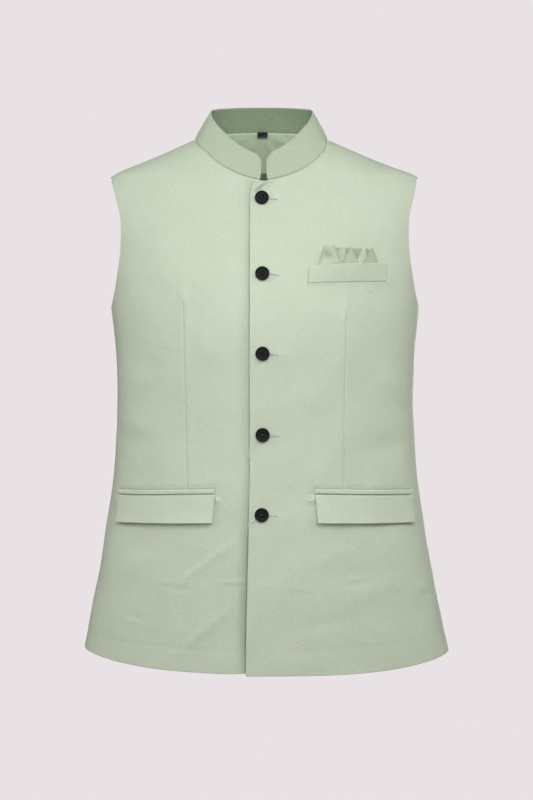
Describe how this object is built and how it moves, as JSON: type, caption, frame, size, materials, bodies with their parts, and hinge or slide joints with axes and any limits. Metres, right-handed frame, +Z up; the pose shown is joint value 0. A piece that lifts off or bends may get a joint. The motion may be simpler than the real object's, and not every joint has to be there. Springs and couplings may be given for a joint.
{
  "type": "nehru jacket",
  "caption": "Sleeveless band-collar jacket, worn over a shirt and closed down the front, stored as a hollow, filled-out garment.",
  "frame": {"origin": "middle of the neck opening at the height of the neck points, where the wearer's shoulders carry it", "axes": "+Z up, the front faces -Y, the wearer's left is +X"},
  "size_m": [0.4995, 0.2493, 0.7738],
  "materials": {
    "sage_suiting": "matt plain weave",
    "sage_lining": "smooth matt lining",
    "black_resin": "polished",
    "black_tape": "woven tape",
    "grey_label": "woven satin"
  },
  "bodies": {
    "root": {"front_left": "sage_suiting", "front_right": "sage_suiting", "back": "sage_suiting", "back_lining": "sage_lining", "collar": "sage_suiting", "chest_welt": "sage_suiting", "pocket_square": "sage_suiting", "jet_left": "sage_suiting", "jet_right": "sage_suiting", "flap_left": "sage_suiting", "flap_right": "sage_suiting", "button_1": "black_resin", "button_2": "black_resin", "button_3": "black_resin", "button_4": "black_resin", "button_5": "black_resin", "size_tab": "black_tape", "main_label": "grey_label"}
  },
  "joints": []
}
